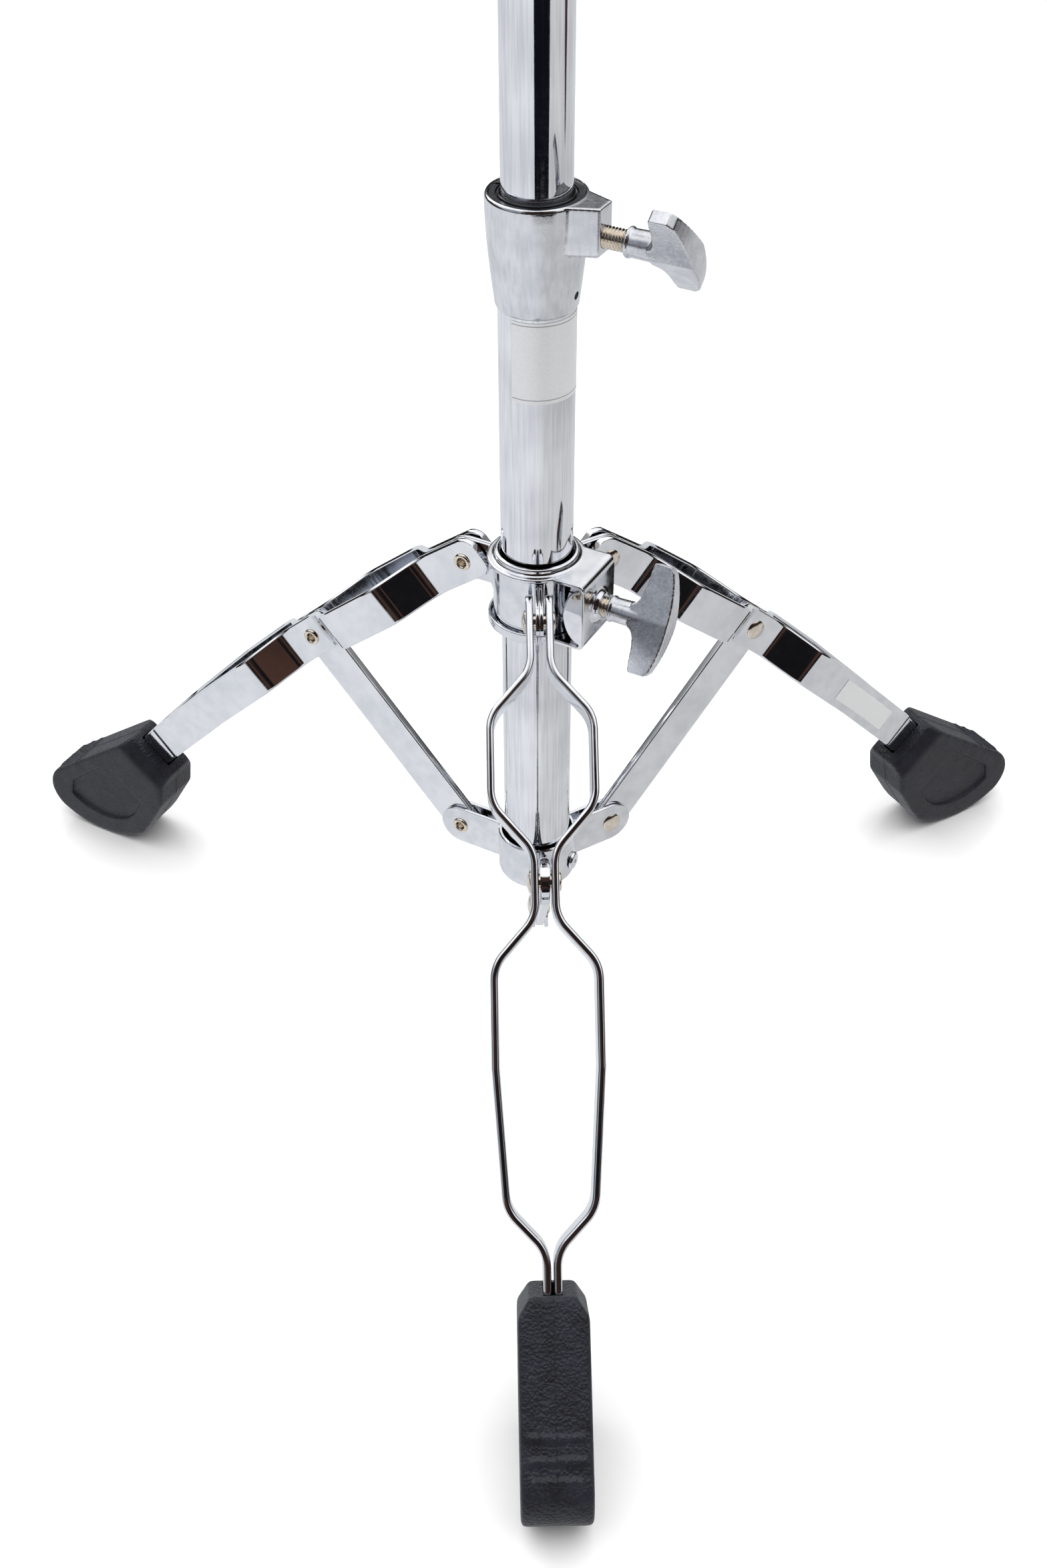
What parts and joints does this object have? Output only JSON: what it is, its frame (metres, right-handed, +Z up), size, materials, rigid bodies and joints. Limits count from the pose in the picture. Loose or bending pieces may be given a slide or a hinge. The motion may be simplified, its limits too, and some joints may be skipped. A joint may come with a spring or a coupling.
{
  "type": "drum stand base",
  "caption": "Folding chromed tripod base of a drum stand with bowed double straps, braces, leg collar, height clamp and telescoping tube.",
  "frame": {"origin": "middle of the footprint's bounding box, on the floor", "axes": "+Z up along the tubes, the front leg points to -Y, the other two to +Y at 30 degrees off X"},
  "size_m": [0.5038, 0.4362, 0.466],
  "materials": {
    "chrome_tube": "mirror",
    "chrome_sheet": "mirror",
    "chrome_strap": "mirror",
    "chrome_casting": "bright cast",
    "nickel": "bright",
    "rubber": "fine leather grain",
    "nylon": "moulded",
    "label_film": "satin",
    "dark_steel": "oxide"
  },
  "bodies": {
    "base": {"base_tube": "chrome_tube", "tube_label": "label_film", "clamp_casting": "chrome_casting", "clamp_bushing": "nylon", "clamp_pin": "dark_steel", "lower_collar": "chrome_sheet", "collar_tack_rivet": "chrome_sheet", "lower_rivet_front": "nickel", "lower_rivet_right": "nickel", "lower_rivet_left": "nickel"},
    "upper_tube": {"upper_tube": "chrome_tube"},
    "height_screw": {"clamp_screw": "nickel", "clamp_wing": "chrome_casting"},
    "front_brace": {"front_brace": "chrome_strap"},
    "front_leg": {"front_strap_right": "chrome_strap", "front_strap_left": "chrome_strap", "front_top_rivet": "nickel", "front_mid_rivet": "nickel", "front_foot": "rubber"},
    "right_brace": {"right_brace": "chrome_strap"},
    "right_leg": {"right_strap_rear": "chrome_strap", "right_strap_front": "chrome_strap", "right_top_rivet": "nickel", "right_mid_rivet": "nickel", "right_foot": "rubber", "leg_label": "label_film"},
    "left_brace": {"left_brace": "chrome_strap"},
    "left_leg": {"left_strap_front": "chrome_strap", "left_strap_rear": "chrome_strap", "left_top_rivet": "nickel", "left_mid_rivet": "nickel", "left_foot": "rubber"},
    "leg_collar": {"collar_shell_front_right": "chrome_sheet", "collar_shell_back": "chrome_sheet", "collar_shell_front_left": "chrome_sheet", "collar_bracket": "chrome_sheet", "collar_nut": "chrome_sheet"},
    "collar_screw": {"collar_screw": "nickel", "collar_wing": "chrome_casting"}
  },
  "joints": [
    {"name": "height_slide", "type": "slide", "parent": "base", "child": "upper_tube", "axis": [0, 0, 1], "range_m": [-0.055, 0.09]},
    {"name": "height_screw_turn", "type": "hinge", "parent": "base", "child": "height_screw", "pos_m": [0.03066, 0.04738, 0.377], "axis": [0.866, -0.5, 0], "range_deg": [0, 450]},
    {"name": "leg_fold", "type": "hinge", "parent": "base", "child": "front_brace", "pos_m": [0, 0.02748, 0.0858], "axis": [-1, 0, 0], "range_deg": [-4, 39]},
    {"name": "front_leg_pivot", "type": "hinge", "parent": "front_brace", "child": "front_leg", "pos_m": [0, -0.04512, 0.1671], "axis": [-1, 0, 0], "range_deg": [-84.24, 8.64]},
    {"name": "right_brace_pivot", "type": "hinge", "parent": "base", "child": "right_brace", "pos_m": [0.03256, 0.08388, 0.0858], "axis": [0.5, -0.866, 0], "range_deg": [-4, 39]},
    {"name": "right_leg_pivot", "type": "hinge", "parent": "right_brace", "child": "right_leg", "pos_m": [0.09544, 0.12018, 0.1671], "axis": [0.5, -0.866, 0], "range_deg": [-84.24, 8.64]},
    {"name": "left_brace_pivot", "type": "hinge", "parent": "base", "child": "left_brace", "pos_m": [-0.03256, 0.08388, 0.0858], "axis": [0.5, 0.866, 0], "range_deg": [-4, 39]},
    {"name": "left_leg_pivot", "type": "hinge", "parent": "left_brace", "child": "left_leg", "pos_m": [-0.09544, 0.12018, 0.1671], "axis": [0.5, 0.866, 0], "range_deg": [-84.24, 8.64]},
    {"name": "collar_pivot", "type": "hinge", "parent": "front_leg", "child": "leg_collar", "pos_m": [0, 0.03368, 0.2305], "axis": [-1, 0, 0], "range_deg": [-4.64, 45.24]},
    {"name": "collar_screw_turn", "type": "hinge", "parent": "leg_collar", "child": "collar_screw", "pos_m": [0.02875, 0.04848, 0.226], "axis": [0.866, -0.5, 0], "range_deg": [0, 450]}
  ],
  "couplings": [
    {"joint": "front_leg_pivot", "follows": "leg_fold", "ratio": -2.16},
    {"joint": "right_brace_pivot", "follows": "leg_fold", "ratio": 1},
    {"joint": "right_leg_pivot", "follows": "leg_fold", "ratio": -2.16},
    {"joint": "left_brace_pivot", "follows": "leg_fold", "ratio": 1},
    {"joint": "left_leg_pivot", "follows": "leg_fold", "ratio": -2.16},
    {"joint": "collar_pivot", "follows": "leg_fold", "ratio": 1.16}
  ]
}
